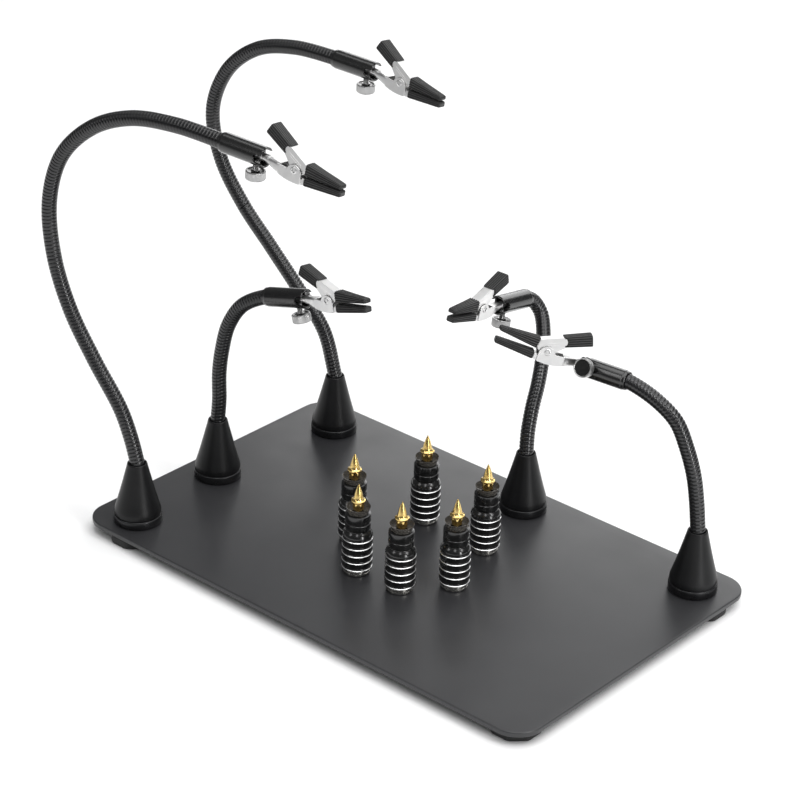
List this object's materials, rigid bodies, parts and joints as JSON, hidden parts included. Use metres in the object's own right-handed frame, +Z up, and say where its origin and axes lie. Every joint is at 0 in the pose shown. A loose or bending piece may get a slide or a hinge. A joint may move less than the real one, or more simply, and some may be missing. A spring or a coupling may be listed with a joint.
{
  "type": "helping hands clamp",
  "caption": "Weighted steel base plate with magnetic gooseneck arms that end in crocodile clips, and magnetic posts with sprung brass tips, for holding circuit boards while soldering.",
  "frame": {"origin": "middle of the base plate's top face, the steel surface that the magnetic feet and posts stand on", "axes": "+X along the plate's long side to the right, +Y to the plate's back edge, +Z up; the rubber pads rest on a bench at z = -8 mm"},
  "size_m": [0.363, 0.214, 0.257],
  "materials": {
    "plate_powder_coat": "matte dark grey powder coat",
    "pad_rubber": "matte black rubber",
    "foot_satin_black": "satin black",
    "gooseneck_black": "black ribbed coil, satin with bright edges",
    "sleeve_gloss_black": "gloss black",
    "screw_nickel": "nickel plate, knurled",
    "clip_nickel": "bright nickel plate",
    "boot_rubber": "black ribbed rubber",
    "post_black": "black anodised with bright turned edges",
    "tip_brass": "polished brass"
  },
  "bodies": {
    "base": {"base_plate": "plate_powder_coat", "front_left_pad": "pad_rubber", "front_right_pad": "pad_rubber", "rear_left_pad": "pad_rubber", "rear_right_pad": "pad_rubber"},
    "front_long_foot": {"front_long_cone_foot": "foot_satin_black"},
    "front_long_lower_neck": {"front_long_lower_gooseneck": "gooseneck_black"},
    "front_long_upper_neck": {"front_long_upper_gooseneck": "gooseneck_black", "front_long_sleeve": "sleeve_gloss_black"},
    "front_long_screw": {"front_long_thumbscrew": "screw_nickel"},
    "front_long_clip": {"front_long_lower_jaw": "clip_nickel", "front_long_lower_boot": "boot_rubber"},
    "front_long_jaw": {"front_long_upper_jaw": "clip_nickel", "front_long_upper_boot": "boot_rubber"},
    "rear_long_foot": {"rear_long_cone_foot": "foot_satin_black"},
    "rear_long_lower_neck": {"rear_long_lower_gooseneck": "gooseneck_black"},
    "rear_long_upper_neck": {"rear_long_upper_gooseneck": "gooseneck_black", "rear_long_sleeve": "sleeve_gloss_black"},
    "rear_long_screw": {"rear_long_thumbscrew": "screw_nickel"},
    "rear_long_clip": {"rear_long_lower_jaw": "clip_nickel", "rear_long_lower_boot": "boot_rubber"},
    "rear_long_jaw": {"rear_long_upper_jaw": "clip_nickel", "rear_long_upper_boot": "boot_rubber"},
    "left_short_foot": {"left_short_cone_foot": "foot_satin_black"},
    "left_short_neck": {"left_short_gooseneck": "gooseneck_black", "left_short_sleeve": "sleeve_gloss_black"},
    "left_short_screw": {"left_short_thumbscrew": "screw_nickel"},
    "left_short_clip": {"left_short_lower_jaw": "clip_nickel", "left_short_lower_boot": "boot_rubber"},
    "left_short_jaw": {"left_short_upper_jaw": "clip_nickel", "left_short_upper_boot": "boot_rubber"},
    "rear_short_foot": {"rear_short_cone_foot": "foot_satin_black"},
    "rear_short_neck": {"rear_short_gooseneck": "gooseneck_black", "rear_short_sleeve": "sleeve_gloss_black"},
    "rear_short_screw": {"rear_short_thumbscrew": "screw_nickel"},
    "rear_short_clip": {"rear_short_lower_jaw": "clip_nickel", "rear_short_lower_boot": "boot_rubber"},
    "rear_short_jaw": {"rear_short_upper_jaw": "clip_nickel", "rear_short_upper_boot": "boot_rubber"},
    "right_short_foot": {"right_short_cone_foot": "foot_satin_black"},
    "right_short_neck": {"right_short_gooseneck": "gooseneck_black", "right_short_sleeve": "sleeve_gloss_black"},
    "right_short_screw": {"right_short_thumbscrew": "screw_nickel"},
    "right_short_clip": {"right_short_lower_jaw": "clip_nickel", "right_short_lower_boot": "boot_rubber"},
    "right_short_jaw": {"right_short_upper_jaw": "clip_nickel", "right_short_upper_boot": "boot_rubber"},
    "post_1": {"post_1_holder": "post_black"},
    "post_1_spring_tip": {"post_1_tip": "tip_brass"},
    "post_2": {"post_2_holder": "post_black"},
    "post_2_spring_tip": {"post_2_tip": "tip_brass"},
    "post_3": {"post_3_holder": "post_black"},
    "post_3_spring_tip": {"post_3_tip": "tip_brass"},
    "post_4": {"post_4_holder": "post_black"},
    "post_4_spring_tip": {"post_4_tip": "tip_brass"},
    "post_5": {"post_5_holder": "post_black"},
    "post_5_spring_tip": {"post_5_tip": "tip_brass"},
    "post_6": {"post_6_holder": "post_black"},
    "post_6_spring_tip": {"post_6_tip": "tip_brass"}
  },
  "joints": [
    {"name": "front_long_foot_turn", "type": "hinge", "parent": "base", "child": "front_long_foot", "pos_m": [-0.125, -0.077, 0], "axis": [0, 0, 1], "range_deg": [-30, 30]},
    {"name": "front_long_neck_bend", "type": "hinge", "parent": "front_long_foot", "child": "front_long_lower_neck", "pos_m": [-0.125, -0.077, 0.0345], "axis": [-0.0698, 0.9976, 0], "range_deg": [-12, 12]},
    {"name": "front_long_neck_curl", "type": "hinge", "parent": "front_long_lower_neck", "child": "front_long_upper_neck", "pos_m": [-0.1821, -0.08099, 0.17067], "axis": [-0.0698, 0.9976, 0], "range_deg": [-15, 15]},
    {"name": "front_long_clip_tilt", "type": "hinge", "parent": "front_long_upper_neck", "child": "front_long_clip", "pos_m": [-0.04601, -0.07148, 0.23008], "axis": [0.0348, 0.0024, 0.9994], "range_deg": [-30, 30]},
    {"name": "front_long_jaw_open", "type": "hinge", "parent": "front_long_clip", "child": "front_long_jaw", "pos_m": [-0.02046, -0.06955, 0.22948], "axis": [0.0772, -0.9906, 0.1129], "range_deg": [0, 20], "stiffness_Nm_per_rad": 0.08, "springref_deg": -45.84},
    {"name": "front_long_screw_turn", "type": "hinge", "parent": "front_long_upper_neck", "child": "front_long_screw", "pos_m": [-0.04601, -0.07148, 0.23008], "axis": [-0.0348, -0.0024, -0.9994], "range_deg": [0, 540]},
    {"name": "rear_long_foot_turn", "type": "hinge", "parent": "base", "child": "rear_long_foot", "pos_m": [-0.119, 0.07, 0], "axis": [0, 0, 1], "range_deg": [-30, 30]},
    {"name": "rear_long_neck_bend", "type": "hinge", "parent": "rear_long_foot", "child": "rear_long_lower_neck", "pos_m": [-0.119, 0.07, 0.0345], "axis": [-0.0645, 0.9979, 0], "range_deg": [-12, 12]},
    {"name": "rear_long_neck_curl", "type": "hinge", "parent": "rear_long_lower_neck", "child": "rear_long_upper_neck", "pos_m": [-0.2047, 0.06446, 0.14582], "axis": [-0.0645, 0.9979, 0], "range_deg": [-15, 15]},
    {"name": "rear_long_clip_tilt", "type": "hinge", "parent": "rear_long_upper_neck", "child": "rear_long_clip", "pos_m": [-0.10265, 0.07106, 0.21998], "axis": [0.0348, 0.0023, 0.9994], "range_deg": [-30, 30]},
    {"name": "rear_long_jaw_open", "type": "hinge", "parent": "rear_long_clip", "child": "rear_long_jaw", "pos_m": [-0.07702, 0.07107, 0.21961], "axis": [0.0023, -0.9923, 0.1241], "range_deg": [0, 20], "stiffness_Nm_per_rad": 0.08, "springref_deg": -45.84},
    {"name": "rear_long_screw_turn", "type": "hinge", "parent": "rear_long_upper_neck", "child": "rear_long_screw", "pos_m": [-0.10265, 0.07106, 0.21998], "axis": [-0.0348, -0.0023, -0.9994], "range_deg": [0, 540]},
    {"name": "left_short_foot_turn", "type": "hinge", "parent": "base", "child": "left_short_foot", "pos_m": [-0.129, -0.013, 0], "axis": [0, 0, 1], "range_deg": [-20, 20]},
    {"name": "left_short_neck_bend", "type": "hinge", "parent": "left_short_foot", "child": "left_short_neck", "pos_m": [-0.129, -0.013, 0.0345], "axis": [-0.0872, 0.9962, 0], "range_deg": [-15, 15]},
    {"name": "left_short_clip_tilt", "type": "hinge", "parent": "left_short_neck", "child": "left_short_clip", "pos_m": [-0.07596, -0.00836, 0.12288], "axis": [-0.2494, -0.0218, 0.9681], "range_deg": [-30, 30]},
    {"name": "left_short_jaw_open", "type": "hinge", "parent": "left_short_clip", "child": "left_short_jaw", "pos_m": [-0.05163, -0.00966, 0.13081], "axis": [-0.08, -0.9933, 0.0829], "range_deg": [-2, 12], "stiffness_Nm_per_rad": 0.08, "springref_deg": -45.84},
    {"name": "left_short_screw_turn", "type": "hinge", "parent": "left_short_neck", "child": "left_short_screw", "pos_m": [-0.07596, -0.00836, 0.12288], "axis": [0.2494, 0.0218, -0.9681], "range_deg": [0, 540]},
    {"name": "rear_short_foot_turn", "type": "hinge", "parent": "base", "child": "rear_short_foot", "pos_m": [0.014, 0.075, 0], "axis": [0, 0, 1], "range_deg": [-20, 20]},
    {"name": "rear_short_neck_bend", "type": "hinge", "parent": "rear_short_foot", "child": "rear_short_neck", "pos_m": [0.014, 0.075, 0.0345], "axis": [0.9994, 0.0349, 0], "range_deg": [-15, 12]},
    {"name": "rear_short_clip_tilt", "type": "hinge", "parent": "rear_short_neck", "child": "rear_short_clip", "pos_m": [-0.01649, 0.08806, 0.10717], "axis": [-0.0064, 0.1821, 0.9833], "range_deg": [-30, 20]},
    {"name": "rear_short_jaw_open", "type": "hinge", "parent": "rear_short_clip", "child": "rear_short_jaw", "pos_m": [-0.01381, 0.06359, 0.1143], "axis": [-0.9944, -0.0952, 0.0466], "range_deg": [-2, 12], "stiffness_Nm_per_rad": 0.08, "springref_deg": -45.84},
    {"name": "rear_short_screw_turn", "type": "hinge", "parent": "rear_short_neck", "child": "rear_short_screw", "pos_m": [-0.01649, 0.08806, 0.10717], "axis": [0.0064, -0.1821, -0.9833], "range_deg": [0, 540]},
    {"name": "right_short_foot_turn", "type": "hinge", "parent": "base", "child": "right_short_foot", "pos_m": [0.128, 0.072, 0], "axis": [0, 0, 1], "range_deg": [-12, 20]},
    {"name": "right_short_neck_bend", "type": "hinge", "parent": "right_short_foot", "child": "right_short_neck", "pos_m": [0.128, 0.072, 0.0345], "axis": [0.1305, -0.9914, 0], "range_deg": [-15, 10]},
    {"name": "right_short_clip_tilt", "type": "hinge", "parent": "right_short_neck", "child": "right_short_clip", "pos_m": [0.06158, 0.06326, 0.10544], "axis": [-0.1293, 0.8971, -0.4225], "range_deg": [-28, 18]},
    {"name": "right_short_jaw_open", "type": "hinge", "parent": "right_short_clip", "child": "right_short_jaw", "pos_m": [0.04377, 0.04762, 0.1152], "axis": [-0.7003, 0.6945, -0.1652], "range_deg": [-6.5, 12], "stiffness_Nm_per_rad": 0.08, "springref_deg": -45.84},
    {"name": "right_short_screw_turn", "type": "hinge", "parent": "right_short_neck", "child": "right_short_screw", "pos_m": [0.06158, 0.06326, 0.10544], "axis": [0.1293, -0.8971, 0.4225], "range_deg": [0, 540]},
    {"name": "post_1_slide", "type": "slide", "parent": "base", "child": "post_1", "axis": [-0.9455, -0.3256, 0], "range_m": [-0.012, 0.02]},
    {"name": "post_2_slide", "type": "slide", "parent": "base", "child": "post_2", "axis": [-0.309, -0.9511, 0], "range_m": [-0.012, 0.02]},
    {"name": "post_3_slide", "type": "slide", "parent": "base", "child": "post_3", "axis": [0.454, -0.891, 0], "range_m": [-0.012, 0.02]},
    {"name": "post_4_slide", "type": "slide", "parent": "base", "child": "post_4", "axis": [0.9563, -0.2924, 0], "range_m": [-0.012, 0.02]},
    {"name": "post_5_slide", "type": "slide", "parent": "base", "child": "post_5", "axis": [0.6293, 0.7771, 0], "range_m": [-0.012, 0.02]},
    {"name": "post_6_slide", "type": "slide", "parent": "base", "child": "post_6", "axis": [-0.5592, 0.829, 0], "range_m": [-0.012, 0.02]},
    {"name": "post_1_tip_lift", "type": "slide", "parent": "post_1", "child": "post_1_spring_tip", "axis": [0, 0, 1], "range_m": [0, 0.003], "stiffness_N_per_m": 400, "springref_m": -0.002},
    {"name": "post_2_tip_lift", "type": "slide", "parent": "post_2", "child": "post_2_spring_tip", "axis": [0, 0, 1], "range_m": [0, 0.003], "stiffness_N_per_m": 400, "springref_m": -0.002},
    {"name": "post_3_tip_lift", "type": "slide", "parent": "post_3", "child": "post_3_spring_tip", "axis": [0, 0, 1], "range_m": [0, 0.003], "stiffness_N_per_m": 400, "springref_m": -0.002},
    {"name": "post_4_tip_lift", "type": "slide", "parent": "post_4", "child": "post_4_spring_tip", "axis": [0, 0, 1], "range_m": [0, 0.003], "stiffness_N_per_m": 400, "springref_m": -0.002},
    {"name": "post_5_tip_lift", "type": "slide", "parent": "post_5", "child": "post_5_spring_tip", "axis": [0, 0, 1], "range_m": [0, 0.003], "stiffness_N_per_m": 400, "springref_m": -0.002},
    {"name": "post_6_tip_lift", "type": "slide", "parent": "post_6", "child": "post_6_spring_tip", "axis": [0, 0, 1], "range_m": [0, 0.003], "stiffness_N_per_m": 400, "springref_m": -0.002}
  ]
}
